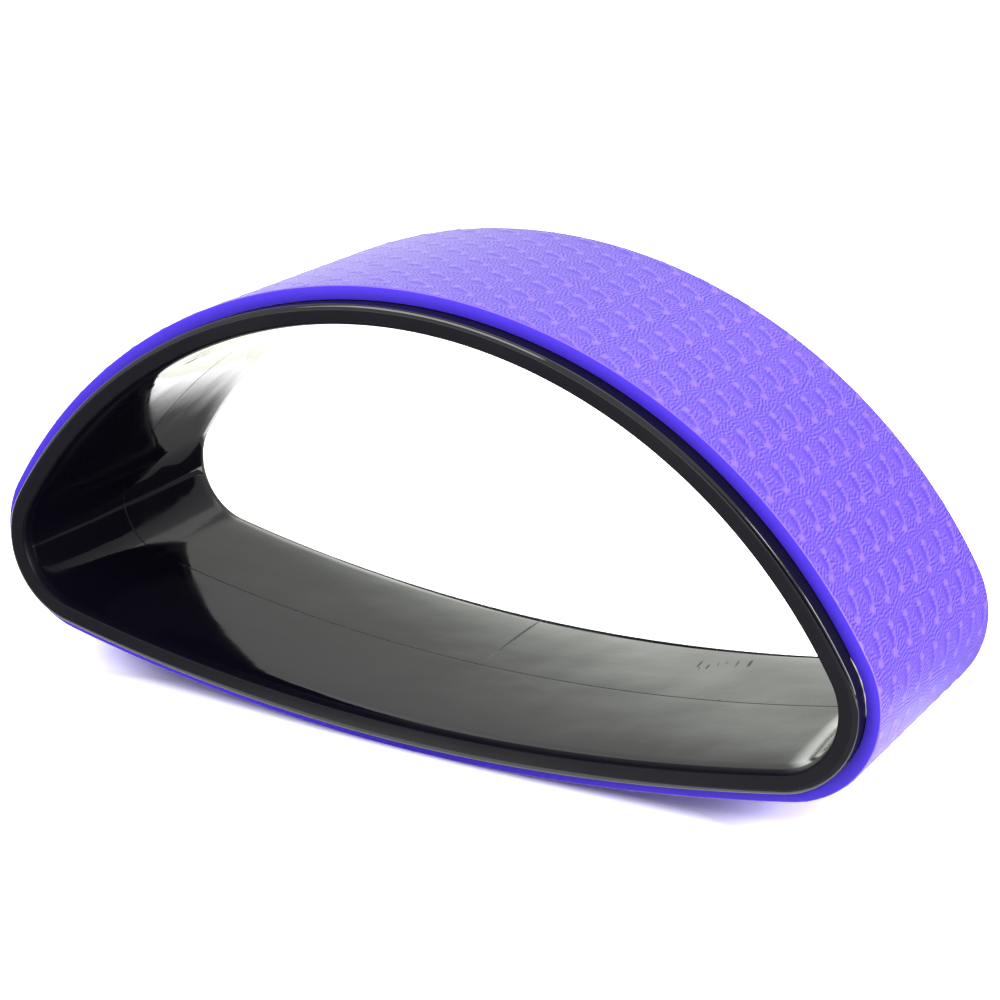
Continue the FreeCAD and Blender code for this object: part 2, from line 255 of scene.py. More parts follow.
pick(front_shell, "edges", lambda across, depth: near(depth, inner_depth) and across > front + inner_run)
bpy.ops.mesh.subdivide(number_cuts=WALL_CUTS)
section = bmesh.from_edit_mesh(front_shell.data)
for point in section.verts:
    if point.co.z > inner_depth - WALL - A_HAIR:
        share = (seam_edge - point.co.y) / (seam_edge - front)
        point.co.z += WALL_CROWN * (1 - share ** WALL_POWER) + LIP_CROWN * (1 - share ** LIP_POWER)
bmesh.update_edit_mesh(front_shell.data)
print(f"section: {len(section.verts)} points")

# %% [markdown]
# ## Spinning the section
# The spin needs only the section's outline, so its face is deleted first. The spin ends where it began, and
# merging doubles closes the ring.

# %% Spin the section into the front shell
SHELL_STEP = 3.0 * MM

bpy.ops.mesh.select_all(action="SELECT")
bpy.ops.mesh.delete(type="ONLY_FACE")
sweep(SHELL_STEP)
close_mesh()
print(f"front shell: {len(front_shell.data.polygons)} faces")

# %% [markdown]
# ## The rear shell
# The rear shell shows the same outside, mirrored, so it is a copy of the first with its own mesh, flipped
# across the seam. A flip turns a mesh inside out, so its normals are worked out again.

# %% Mirror a copy for the rear
SHELL_SHARP = 40

bpy.ops.object.select_all(action="DESELECT")
front_shell.select_set(True)
bpy.context.view_layer.objects.active = front_shell
bpy.ops.object.duplicate(linked=False)
rear_shell = bpy.context.object
rear_shell.name = "rear_shell_moulding"
rear_shell.data.name = rear_shell.name
bpy.ops.object.mode_set(mode="EDIT")
bpy.ops.mesh.select_all(action="SELECT")
bpy.ops.transform.resize(value=(1, -1, 1), center_override=(0, 0, 0))
close_mesh()
for shell in (front_shell, rear_shell):
    smooth_shading(shell, SHELL_SHARP)
    low, high = (Vector(corner) for corner in (shell.bound_box[0], shell.bound_box[6]))
    print(shell.name, [round(side / MM, 2) for side in high - low])

# %% [markdown]
# ## The foam strip
# The real strip is cut from a flat embossed mat and bent round the ring, and it is made the same way here: a
# flat grid with a point every 0.7 mm, so that the raised pattern can be real shape, rounded edges extruded in
# small steps, then sides and a back. It is flat at first, with its length along X and its outside at height
# zero.

# %% Lay out the flat strip
PAD_WIDTH = 115 * MM
PAD_THICKNESS = 5.7 * MM
PAD_JOINT = 0.4 * MM
PAD_EDGE_ROUND = 0.4 * MM
PAD_STEP = 0.7 * MM
RELIEF = 0.2 * MM
ROUND_STEPS = 3

crown_half = crown_radius * crown_turn / 2
end_half = crown_half + END_RADIUS * end_turn
strip_half = end_half + ROCKER_RADIUS * rocker_turn - PAD_JOINT / 2
face_half = PAD_WIDTH / 2 - PAD_EDGE_ROUND

bpy.ops.object.select_all(action="DESELECT")
bpy.ops.mesh.primitive_grid_add(
    x_subdivisions=round(2 * strip_half / PAD_STEP), y_subdivisions=round(2 * face_half / PAD_STEP),
    size=1, calc_uvs=False)
pad = bpy.context.object
pad.name = pad.data.name = "foam_strip"
bpy.ops.object.mode_set(mode="EDIT")
bpy.ops.transform.resize(value=(2 * strip_half, 2 * face_half, 1), center_override=(0, 0, 0))
bpy.ops.transform.translate(value=(0, 0, -RELIEF))
for side in (-1, 1):
    pick(pad, "edges", lambda across, height: near(across, side * face_half))
    for step in range(ROUND_STEPS):
        before, after = (math.pi / 2 * turn / ROUND_STEPS for turn in (step, step + 1))
        push_out(side * PAD_EDGE_ROUND * (math.sin(after) - math.sin(before)),
                 PAD_EDGE_ROUND * (math.cos(after) - math.cos(before)))
    push_out(0, RELIEF + PAD_EDGE_ROUND - PAD_THICKNESS)
pick(pad, "edges", lambda across, height: near(height, -PAD_THICKNESS))
bpy.ops.mesh.bridge_edge_loops()
bpy.ops.mesh.select_all(action="DESELECT")
bpy.ops.mesh.select_non_manifold()
bpy.ops.mesh.fill_holes(sides=0)
close_mesh()
print(f"flat strip: {2 * strip_half / MM:.1f} mm long, {len(pad.data.polygons)} faces")

# %% [markdown]
# ## The raised pattern
# The mat's anti-slip pattern repeats on a slightly skewed lattice, about 18 mm along the strip and 14 mm
# across it. Each repeat has two smooth studs joined by a thin curved rib, a shallow hollow in front of the
# rib, and a few small beads. Modelling some five hundred repeats by hand would be slow, so each shape is a
# small formula of the place within the repeat.

# %% Shapes of one repeat
# Each oval is its middle along and across, its half sizes along and across, all in mm, and a turn in degrees.
REPEAT_ALONG = np.array([17.7, 1.0]) * MM
REPEAT_ACROSS = np.array([0.5, 13.75]) * MM
FIRST_STUD = np.array([11.7, -55.6]) * MM
STUDS = [(0.0, 0.0, 1.4, 1.85, 0), (9.4, -6.2, 1.5, 2.1, 0)]
BEADS = [
    (2.6, 3.8, 0.5, 1.1, 20),
    (4.2, 5.2, 0.5, 1.1, 20),
    (5.7, 6.4, 0.5, 1.0, 20),
    (2.7, -0.6, 0.6, 0.9, 10),
]
HOLLOWS = [(3.3, -3.7, 4.2, 1.2, -14)]
CALM_SPOTS = [(3.0, -4.6, 4.6, 2.3, -14), (0.3, 3.6, 1.6, 2.4, 0)]
STUD_SOFT, BEAD_SOFT, HOLLOW_SOFT, CALM_SOFT = 0.6, 0.8, 0.9, 0.7
RIB_POINTS = np.array([[2.4, -0.4], [4.5, -1.2], [6.4, -2.5], [8.0, -4.0], [9.4, -5.6]]) * MM
RIB_WIDTH = 0.75 * MM
RIB_FULL = 1.15


def soft_step(value):
    """Zero to one with no kink at either end."""
    value = np.clip(value, 0, 1)
    return value * value * (3 - 2 * value)


def ovals(offset, shapes, soft):
    """One inside any of the turned ovals, falling softly to zero at their edges."""
    best = np.zeros(len(offset))
    for middle_along, middle_across, half_along, half_across, degrees in shapes:
        turn = math.radians(degrees)
        turned = np.array([[math.cos(turn), -math.sin(turn)], [math.sin(turn), math.cos(turn)]])
        local = (offset - np.array([middle_along, middle_across]) * MM) @ turned
        distance = np.linalg.norm(local / (np.array([half_along, half_across]) * MM), axis=1)
        best = np.maximum(best, soft_step((1 + soft / 2 - distance) / soft))
    return best


def rib(offset):
    """One along the rib's crest, falling softly to zero at its sides."""
    best = np.full(len(offset), np.inf)
    for start, end in zip(RIB_POINTS[:-1], RIB_POINTS[1:]):
        run = end - start
        share = np.clip((offset - start) @ run / (run @ run), 0, 1)
        best = np.minimum(best, np.linalg.norm(offset - start - share[:, None] * run, axis=1))
    return soft_step(RIB_FULL - best / RIB_WIDTH)


print("repeat:", [round(np.linalg.norm(step) / MM, 1) for step in (REPEAT_ALONG, REPEAT_ACROSS)], "mm")

# %% [markdown]
# ## Embossing the strip
# Every point of the strip looks at the repeats around it and takes the highest shape that it lies on. Hollows
# sink only where nothing is raised. Only the outside face moves, so the strip keeps its thickness elsewhere.

# %% Emboss the flat strip
BEAD_HEIGHT_SHARE = 0.5
HOLLOW_DEPTH_SHARE = 0.4
NEIGHBOURS = (-1, 0, 1, 2)

points = np.empty(len(pad.data.vertices) * 3)
pad.data.vertices.foreach_get("co", points)
along, across, level = points.reshape(-1, 3).T
place = np.stack([along, across], axis=1)
lattice = np.stack([REPEAT_ALONG, REPEAT_ACROSS])
cell = np.floor((place - FIRST_STUD) @ np.linalg.inv(lattice))
raised, hollows, calm = (np.zeros(len(place)) for _ in range(3))
for step_along in NEIGHBOURS:
    for step_across in NEIGHBOURS:
        offset = place - FIRST_STUD - (cell + [step_along, step_across]) @ lattice
        studs = ovals(offset, STUDS, STUD_SOFT)
        beads = BEAD_HEIGHT_SHARE * ovals(offset, BEADS, BEAD_SOFT)
        raised = np.maximum.reduce([raised, studs, rib(offset), beads])
        hollows = np.maximum(hollows, ovals(offset, HOLLOWS, HOLLOW_SOFT))
        calm = np.maximum(calm, ovals(offset, CALM_SPOTS, CALM_SOFT))
on_face = (level > -RELIEF - TOUCHING).astype(float)
pattern = on_face * (raised - HOLLOW_DEPTH_SHARE * hollows * (1 - raised))
level = level + RELIEF * pattern
print(f"pattern: {level[on_face > 0].min() / MM:.2f} to {level.max() / MM:.2f} mm")

# %% [markdown]
# ## What the finish needs to know
# The finish works from flat places, so each corner keeps its place on the strip as a map, in metres. Three
# numbers stay on each point: how raised it is, how strongly the fine ridges show there, and how high it lies
# in the strip. They set the painted shade and highlight of the foam. The rounded edge counts as raised, as a
# painted highlight along it.

# %% Keep the flat places and the pattern on the mesh
CALM_SHARE = 0.8
# Painted highlight along the rounded edge of the skin.
EDGE_HIGHLIGHT = 0.9

strip_map = pad.data.uv_layers.new(name="strip")
corner_points = np.empty(len(pad.data.loops), dtype=np.int32)
pad.data.loops.foreach_get("vertex_index", corner_points)
strip_map.uv.foreach_set("vector", place[corner_points].astype(np.float32).ravel())
ribbed = on_face * (1 - np.maximum(raised, CALM_SHARE * calm))
on_edge = (np.abs(across) > face_half + A_HAIR) & (level > -RELIEF - PAD_EDGE_ROUND + A_HAIR)
# Raised places are painted paler, and the rounded edge gets a painted highlight.
relief_and_edge_highlight = np.where(on_edge, EDGE_HIGHLIGHT, pattern)
for name, values in [("relief_and_edge_highlight", relief_and_edge_highlight), ("ribbed", ribbed), ("height", 1 + level / PAD_THICKNESS)]:
    layer = pad.data.attributes.new(name, "FLOAT", "POINT")
    layer.data.foreach_set("value", values.astype(np.float32))
print("kept on the strip:", strip_map.name, "relief_and_edge_highlight", "ribbed", "height")

# %% [markdown]
# ## Bending the strip round the ring
# A Curve modifier would do this too, but it follows a chain of short straight runs. The four arcs are known
# exactly, so each point is set on its arc instead: its place along the strip gives the angle, its level the
# distance from the arc's centre.

# %% Bend the strip
PAD_SHARP = 60

run = np.abs(along)
on_crown = run < crown_half
on_end = ~on_crown & (run < end_half)
angle = np.where(
    on_crown,
    math.pi / 2 - run / crown_radius,
    np.where(
        on_end,
        crown_slope - (run - crown_half) / END_RADIUS,
        rocker_slope - math.pi / 2 - (run - end_half) / ROCKER_RADIUS,
    ),
)
reach = np.where(on_crown, crown_radius, np.where(on_end, END_RADIUS, ROCKER_RADIUS)) + level
bent_x = np.where(on_end, end_x, 0) + reach * np.cos(angle)
bent_z = np.where(on_crown, crown_z, np.where(on_end, end_z, ROCKER_RADIUS)) + reach * np.sin(angle)
bent = np.stack([np.where(along < 0, -bent_x, bent_x), across, bent_z], axis=1)
pad.data.vertices.foreach_set("co", bent.ravel())
bpy.ops.object.shade_smooth_by_angle(angle=math.radians(PAD_SHARP))
print("bent strip:", [round(side / MM, 2) for side in np.ptp(bent, axis=0)])

# %% [markdown]
# ## Building finishes
# Colours are written as they would be picked from a chart and turned to the linear values that shaders use.
# One small function adds a node, sets it up and links its inputs, so that each finish below reads from top to
# bottom.

# %% Colour and node tools
def linear(hex_colour):
    """sRGB hex to a linear colour."""
    channels = [int(hex_colour[place:place + 2], 16) / 255 for place in (1, 3, 5)]
    return tuple(c / 12.92 if c <= 0.04045 else ((c + 0.055) / 1.055) ** 2.4 for c in channels) + (1.0,)


def add(tree, kind, inputs=None, **settings):
    """Add a node, set its properties, and set or link its inputs."""
    node = tree.nodes.new(kind)
    for name, value in settings.items():
        setattr(node, name, value)
    for name, value in (inputs or {}).items():
        if isinstance(value, bpy.types.NodeSocket):
            tree.links.new(value, node.inputs[name])
        else:
            node.inputs[name].default_value = value
    return node


def new_finish(name):
    """Empty node material and its tree."""
    material = bpy.data.materials.new(name)
    material.use_nodes = True
    material.node_tree.nodes.clear()
    return material, material.node_tree


# %% [markdown]
# ## Black ABS
# The shells are ABS moulded in a polished tool: gloss black, with the faint ripple of a moulding that shrank
# as it cooled. The flat rim is satin. The sides beside the foam and the inner lip get a darker copy with less
# reflection, as painted shade. Gloss black is nearly all reflection, so the colour hardly matters and the
# shape of the surface is everything. Moulding and use show as well: a weld line, faint smears, specks of dust
# and a few scuffs, each a spot that lost its gloss.

# %% Gloss, satin and dull ABS
# Each mark is an oval: middle and half sizes in mm, turn about the vertical in radians, and roughness.
MARKS = [
    ((-1.2, 34, 16), (1.1, 36, 40), 0.067, 0.5),
    ((82.5, 39, 20), (0.8, 7.0, 20), 0.15, 0.45),
    ((87, 37, 20), (0.8, 5.0, 20), 0.15, 0.45),
    ((84.5, 34, 20), (0.6, 3.0, 20), 0.3, 0.35),
    ((90, 41, 20), (0.5, 4.0, 20), 0.35, 0.35),
    ((92.5, 44, 20), (0.6, 3.5, 20), 0.2, 0.35),
    ((97, 44, 20), (0.8, 7.0, 20), 0.2, 0.4),
    ((102, 45.5, 20), (1.1, 7.5, 20), 0.2, 0.5),
    ((109, 0.3, 23), (1.0, 0.7, 20), 0.0, 0.7),
    ((-93.5, 20, 21), (0.3, 7, 20), -0.1, 0.5),
    ((-110, -44, 141), (4.5, 2.2, 4.5), 0.6, 0.6),
    ((-106, -40, 143), (3.0, 1.0, 3.0), 0.6, 0.5),
    ((170, -40, 38), (22, 30, 26), 0.0, 0.2),
]
MARK_CORE = 0.4
RIPPLE_SIZE = 30 * MM
PEEL_SIZE = 9 * MM
PEEL_SHARE = 0.12
SMEAR_SIZE = 45 * MM
SMEAR_FROM, SMEAR_TO = 0.45, 0.7
SMEAR_ROUGHNESS = 0.1
DUST_SPACING = 34 * MM
SPECK_CORE, SPECK_EDGE = 0.006, 0.014
SPECK_ROUGHNESS = 0.5
ABS_IOR = 1.52
BLACK = "#0c0a16"


def abs_finish(name, roughness, specular, ripple, marks):
    """Black ABS. The slow ripple bends long reflections, and lost gloss shows where it was touched."""
    material, tree = new_finish(name)
    place = add(tree, "ShaderNodeTexCoord").outputs["Object"]
    slow = add(tree, "ShaderNodeTexNoise", {"Vector": place, "Scale": 1 / RIPPLE_SIZE, "Detail": 1.0})
    peel = add(tree, "ShaderNodeTexNoise", {"Vector": place, "Scale": 1 / PEEL_SIZE, "Detail": 2.0})
    wave = add(tree, "ShaderNodeBump", {
        "Height": slow.outputs["Fac"], "Distance": ripple, "Strength": 1.0})
    skin = add(tree, "ShaderNodeBump", {
        "Height": peel.outputs["Fac"], "Distance": PEEL_SHARE * ripple, "Strength": 1.0,
        "Normal": wave.outputs["Normal"]})
    smears = add(tree, "ShaderNodeTexNoise", {"Vector": place, "Scale": 1 / SMEAR_SIZE, "Detail": 1.0})
    dullness = add(tree, "ShaderNodeMapRange", {
        "Value": smears.outputs["Fac"], "From Min": SMEAR_FROM, "From Max": SMEAR_TO,
        "To Min": roughness, "To Max": roughness + SMEAR_ROUGHNESS})
    dust = add(tree, "ShaderNodeTexVoronoi", {"Vector": place, "Scale": 1 / DUST_SPACING})
    speck = add(tree, "ShaderNodeMapRange", {
        "Value": dust.outputs["Distance"], "From Min": SPECK_CORE, "From Max": SPECK_EDGE,
        "To Min": SPECK_ROUGHNESS, "To Max": 0.0})
    rough = add(tree, "ShaderNodeMath", {
        0: dullness.outputs[0], 1: speck.outputs[0]}, operation="MAXIMUM").outputs[0]
    for middle, half_size, turn, strength in marks:
        spot = add(tree, "ShaderNodeMapping", {
            "Vector": place, "Location": Vector(middle) * MM, "Rotation": (0, 0, turn),
            "Scale": Vector(half_size) * MM}, vector_type="TEXTURE")
        reach = add(tree, "ShaderNodeVectorMath", {0: spot.outputs["Vector"]}, operation="LENGTH")
        mark = add(tree, "ShaderNodeMapRange", {
            "Value": reach.outputs["Value"], "From Min": MARK_CORE, "From Max": 1.0,
            "To Min": strength, "To Max": 0.0})
        rough = add(tree, "ShaderNodeMath", {0: rough, 1: mark.outputs[0]}, operation="MAXIMUM").outputs[0]
    shade = add(tree, "ShaderNodeBsdfPrincipled", {
        "Base Color": linear(BLACK), "Roughness": rough, "IOR": ABS_IOR, "Specular IOR Level": specular,
        "Normal": skin.outputs["Normal"]})
    add(tree, "ShaderNodeOutputMaterial", {"Surface": shade.outputs["BSDF"]})
    return material


# Gloss mirrors the room and satin only greys in it. The third is a darker copy with less reflection: painted
# shade in the groove beside the foam and on the inner lip.
gloss_abs = abs_finish("gloss_black_abs", roughness=0.05, specular=0.5, ripple=0.25 * MM, marks=MARKS)
satin_abs = abs_finish("satin_black_abs", roughness=0.3, specular=0.31, ripple=0.02 * MM, marks=[])
shaded_copy_abs = abs_finish("painted_shade_black_abs", roughness=0.3, specular=0.1, ripple=0.02 * MM, marks=[])
GLOSS, SATIN, SHADED_COPY = range(3)
SHADED_COPY_LIP_SHARE = 0.5


def finish_of(face):
    """Satin on the flat front of the rim, the darker painted-shade copy beside the foam and on the inner lip,
    gloss elsewhere.
    """
    from_front = WIDTH / 2 - abs(face.center.y)
    depth = outline_depth(face.center.x, face.center.z)
    if from_front < A_HAIR:
        return SATIN
    # Painted shade in the groove beside the foam.
    if depth < SEAT_DEPTH + A_HAIR:
        return SHADED_COPY
    # Painted shade on the inner lip.
    if depth > inner_depth - INNER_ROUND and from_front < SHADED_COPY_LIP_SHARE * inner_run:
        return SHADED_COPY
    return GLOSS


for shell in (front_shell, rear_shell):
    shell.data.materials.clear()
    for finish in (gloss_abs, satin_abs, shaded_copy_abs):
        shell.data.materials.append(finish)
    for face in shell.data.polygons:
        face.material_index = finish_of(face)
print("finishes:", [finish.name for finish in front_shell.data.materials])

# %% [markdown]
# ## Violet TPE foam
# The strip is closed-cell TPE foam with a thin pressed skin, a deep violet. Between the studs the skin is
# finely ridged, and the ridges run mostly one way, so they come from a noise with a direction. Raised tops and
# ridge crests are painted paler, as painted highlight, and the valleys between them darker, as painted shade.
# The skin also has a soft sheen when it is seen at a flat angle.

# %% Foam skin
RIDGE_SPACING = 1.6 * MM
RIDGE_LENGTH = 3.0 * MM
RIDGE_TURN = math.radians(12)
RIDGE_ONE_WAY = 0.72
RIDGE_HEIGHT = 0.6 * MM
# The skin colour is painted shade and highlight: ridges and raised tops are painted paler, valleys darker.
RIDGE_SHADING = 3.0
RELIEF_SHADING = 0.62
SHADING_BASE = 0.35
SKIN_SHADED_VALLEY, SKIN_LIT_TOP = "#4c28d2", "#926cf0"
SKIN_ROUGHNESS = 0.42
SKIN_SHEEN, SKIN_SHEEN_ROUGHNESS = 0.15, 0.5
FOAM_IOR = 1.5


def foam_skin():
    """Pressed foam skin. A painted highlight on the tops and painted shade in the valleys let the pattern read
    even in flat light.
    """
    material, tree = new_finish("violet_tpe_skin")
    strip = add(tree, "ShaderNodeUVMap", uv_map="strip").outputs["UV"]
    ridges = add(tree, "ShaderNodeTexGabor", {
        "Vector": strip, "Scale": 1 / RIDGE_LENGTH, "Frequency": RIDGE_LENGTH / RIDGE_SPACING,
        "Anisotropy": RIDGE_ONE_WAY}, gabor_type="2D")
    ridges.inputs["Orientation"].default_value = RIDGE_TURN
    relief_and_edge_highlight = add(tree, "ShaderNodeAttribute", attribute_name="relief_and_edge_highlight").outputs["Fac"]
    ribbed = add(tree, "ShaderNodeAttribute", attribute_name="ribbed").outputs["Fac"]
    centred = add(tree, "ShaderNodeMath", {0: ridges.outputs["Value"], 1: 0.5}, operation="SUBTRACT")
    ridge = add(tree, "ShaderNodeMath", {0: centred.outputs[0], 1: ribbed}, operation="MULTIPLY")
    # Painted highlight on the raised tops and ridge crests, and painted shade in the valleys.
    tops = add(tree, "ShaderNodeMath", {
        0: relief_and_edge_highlight, 1: RELIEF_SHADING, 2: SHADING_BASE}, operation="MULTIPLY_ADD")
    pale = add(tree, "ShaderNodeMath", {
        0: ridge.outputs[0], 1: RIDGE_SHADING, 2: tops.outputs[0]}, operation="MULTIPLY_ADD")
    tint = add(tree, "ShaderNodeMix", {
        "Factor": pale.outputs[0], "A": linear(SKIN_SHADED_VALLEY), "B": linear(SKIN_LIT_TOP)}, data_type="RGBA")
    bump = add(tree, "ShaderNodeBump", {
        "Height": ridge.outputs[0], "Distance": RIDGE_HEIGHT, "Strength": 1.0})
    shade = add(tree, "ShaderNodeBsdfPrincipled", {
        "Base Color": tint.outputs["Result"], "Roughness": SKIN_ROUGHNESS, "IOR": FOAM_IOR,
        "Sheen Weight": SKIN_SHEEN, "Sheen Roughness": SKIN_SHEEN_ROUGHNESS,
        "Normal": bump.outputs["Normal"]})
    add(tree, "ShaderNodeOutputMaterial", {"Surface": shade.outputs["BSDF"]})
    return material


pad.data.materials.clear()
pad.data.materials.append(foam_skin())
print("finish:", pad.data.materials[0].name)

# %% [markdown]
# ## The cut edge
# Along its sides the strip was cut, so the open cells show there instead of the skin: duller, bluer and
# finely mottled. It is painted darker towards the shell, as painted shade under the rim, and lighter towards
# the skin, as painted light soaking in from the face.

# %% Cut edge of the foam
# The real cells are finer. They are drawn this coarse so that they show.
CELL_SIZE = 0.6 * MM
CELL_DEPTH = 0.05 * MM
CELL_MOTTLE = 0.25
# Painted shade at the shell and painted light towards the skin.
EDGE_SHADED, EDGE_LIT = "#3414c8", "#5230fc"
EDGE_ROUGHNESS = 0.6


def foam_edge():
    """Cut foam. Fine cells and no sheen tell it from the skin above."""
    material, tree = new_finish("violet_tpe_cut_edge")
    place = add(tree, "ShaderNodeTexCoord").outputs["Object"]
    height = add(tree, "ShaderNodeAttribute", attribute_name="height").outputs["Fac"]
    cells = add(tree, "ShaderNodeTexVoronoi", {"Vector": place, "Scale": 1 / CELL_SIZE})
    # The height in the strip paints shade low down and light high up, over the mottle of the cells.
    mottle = add(tree, "ShaderNodeMath", {
        0: cells.outputs["Distance"], 1: CELL_MOTTLE, 2: height}, operation="MULTIPLY_ADD")
    tint = add(tree, "ShaderNodeMix", {
        "Factor": mottle.outputs[0], "A": linear(EDGE_SHADED), "B": linear(EDGE_LIT)}, data_type="RGBA")
    bump = add(tree, "ShaderNodeBump", {
        "Height": cells.outputs["Distance"], "Distance": CELL_DEPTH, "Strength": 1.0})
    shade = add(tree, "ShaderNodeBsdfPrincipled", {
        "Base Color": tint.outputs["Result"], "Roughness": EDGE_ROUGHNESS, "IOR": FOAM_IOR,
        "Normal": bump.outputs["Normal"]})
    add(tree, "ShaderNodeOutputMaterial", {"Surface": shade.outputs["BSDF"]})
    return material


pad.data.materials.append(foam_edge())
for face in pad.data.polygons:
    cut = abs(abs(face.center.y) - PAD_WIDTH / 2) < TOUCHING
    face.material_index = 1 if cut else 0
print("finishes:", [finish.name for finish in pad.data.materials])

# %% [markdown]
# ## Glue and cement
# Contact adhesive holds the strip and solvent cement joins the shells. Both lie between other pieces and
# hardly show, so they keep their CAD shapes and only get finishes: a whitish film, and black like the ABS.

# %% Glue and cement finishes
STREAK_SIZE = 4 * MM
GLUE_IOR = 1.5


def glue_finish(name, colours, roughness):
    """Dried glue, streaked between two colours as it was brushed on."""
    material, tree = new_finish(name)
    place = add(tree, "ShaderNodeTexCoord").outputs["Object"]
    streaks = add(tree, "ShaderNodeTexNoise", {"Vector": place, "Scale": 1 / STREAK_SIZE, "Detail": 3.0})
    tint = add(tree, "ShaderNodeMix", {
        "Factor": streaks.outputs["Fac"], "A": linear(colours[0]), "B": linear(colours[1])},
        data_type="RGBA")
    shade = add(tree, "ShaderNodeBsdfPrincipled", {
        "Base Color": tint.outputs["Result"], "Roughness": roughness, "IOR": GLUE_IOR})
    add(tree, "ShaderNodeOutputMaterial", {"Surface": shade.outputs["BSDF"]})
    return material


glue = glue_finish("dried_contact_adhesive", ("#cfc9b4", "#e6e2d4"), roughness=0.35)
cement = glue_finish("solvent_cement", ("#0c0c0e", "#1a1a1c"), roughness=0.2)
for node_name, finish in [
    ("pad_adhesive", glue),
    ("outer_seam_cement", cement),
    ("inner_seam_cement", cement),
]:
    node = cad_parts[node_name]
    node.data.materials.clear()
    node.data.materials.append(finish)
print("finishes:", glue.name, cement.name)

# %% [markdown]
# ## A bead of glue
# At the right end a little adhesive squeezed out under the strip's edge and dried as a thin whitish bead. It
# is a small circle spun round the end's centre, thinned towards both ends and a little uneven on the way.

# %% Squeezed-out glue
BEAD_RADIUS = 0.3 * MM
BEAD_TURN = math.radians(46)
BEAD_STEPS = 60
BEAD_CORNERS = 8
BEAD_OUT_SHARE = 0.5
UNEVEN_SHARE = 0.25
UNEVEN_WAVES = 29
bead_reach = END_RADIUS - SEAT_DEPTH + BEAD_OUT_SHARE * BEAD_RADIUS
bead_across = -(PAD_WIDTH + BEAD_RADIUS) / 2

bpy.ops.object.select_all(action="DESELECT")
bpy.ops.mesh.primitive_circle_add(
    vertices=BEAD_CORNERS, radius=BEAD_RADIUS, location=(end_x + bead_reach, bead_across, end_z))
bead = bpy.context.object
bead.name = bead.data.name = "glue_bead"
bpy.ops.object.transform_apply(location=True, rotation=True, scale=True)
bpy.ops.object.mode_set(mode="EDIT")
bpy.ops.mesh.select_all(action="SELECT")
bpy.ops.mesh.spin(steps=BEAD_STEPS, angle=BEAD_TURN, center=(end_x, 0, end_z), axis=(0, 1, 0))
squeezed = bmesh.from_edit_mesh(bead.data)
for point in squeezed.verts:
    turn = math.atan2(point.co.z - end_z, point.co.x - end_x)
    share = min(max(turn / BEAD_TURN, 0), 1)
    unevenness = 1 - UNEVEN_SHARE + UNEVEN_SHARE * math.sin(UNEVEN_WAVES * share)
    fullness = math.sqrt(math.sin(math.pi * share)) * unevenness
    middle = Vector((end_x + bead_reach * math.cos(turn), bead_across, end_z + bead_reach * math.sin(turn)))
    point.co = middle + (point.co - middle) * fullness
bmesh.update_edit_mesh(bead.data)
close_mesh()
bpy.ops.object.shade_smooth()
bead.data.materials.append(glue)
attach(bead, "root")
print(f"bead: {len(bead.data.polygons)} faces")

# %% [markdown]
# ## Tying the pieces to the frame
# Nothing moves, so every piece rides on the one body. Each shell and the strip stand for the CAD node that
# they replace, and that node is hidden.

# %% Tie the pieces to the frame
for piece, node_name, slot in [
    (front_shell, "front_shell", "shell_abs"),
    (rear_shell, "rear_shell", "shell_abs"),
    (pad, "foam_pad", "pad_foam"),
]:
    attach(piece, "root")
    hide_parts(node_name)
print("tied:", front_shell.name, rear_shell.name, pad.name)

# %% [markdown]
# ## The floor
# White paper, seen three ways. For soft light it is plain paper. For the camera it is brighter away from the
# wheel, as painted light that washes out the shadow there so that it runs into the white background, and
# darker under the wheel, as painted shade that deepens the shadow there. For the gloss it is brighter again,
# as paper under studio lamps is.

# %% Floor
PAPER = "#d2d2d2"
PAPER_NEAR_SHADE, PAPER_AWAY_LIGHT = 0.85, 2.3
PAPER_MIRRORED = (2.1, 2.15, 1.9, 1)
PAPER_SIZE = (16, 16)
SHADOW_REACH = [("X", 120 * MM, 175 * MM), ("Y", 47 * MM, 62 * MM)]
FLAT = (0, 0, 0)


def looks(tree):
    """One for rays from the camera, and one for rays from gloss and glass."""
    path = add(tree, "ShaderNodeLightPath")
    mirrored = add(tree, "ShaderNodeMath", {
        0: path.outputs["Is Glossy Ray"], 1: path.outputs["Is Transmission Ray"]}, operation="MAXIMUM")
    return path.outputs["Is Camera Ray"], mirrored.outputs[0]


def stage_plane(name, size, place, turn, finish):
    """A flat stage piece of a given size."""
    bpy.ops.object.select_all(action="DESELECT")
    bpy.ops.mesh.primitive_plane_add(size=1, location=place, rotation=turn)
    plane = bpy.context.object
    plane.name = name
    plane.scale = (size[0], size[1], 1)
    plane.data.materials.append(finish)
    return plane


white_paper, tree = new_finish("white_paper")
by_camera, by_gloss = looks(tree)
paper = add(tree, "ShaderNodeBsdfDiffuse", {"Color": linear(PAPER)})
spot = add(tree, "ShaderNodeSeparateXYZ", {0: add(tree, "ShaderNodeNewGeometry").outputs["Position"]})
clear = []
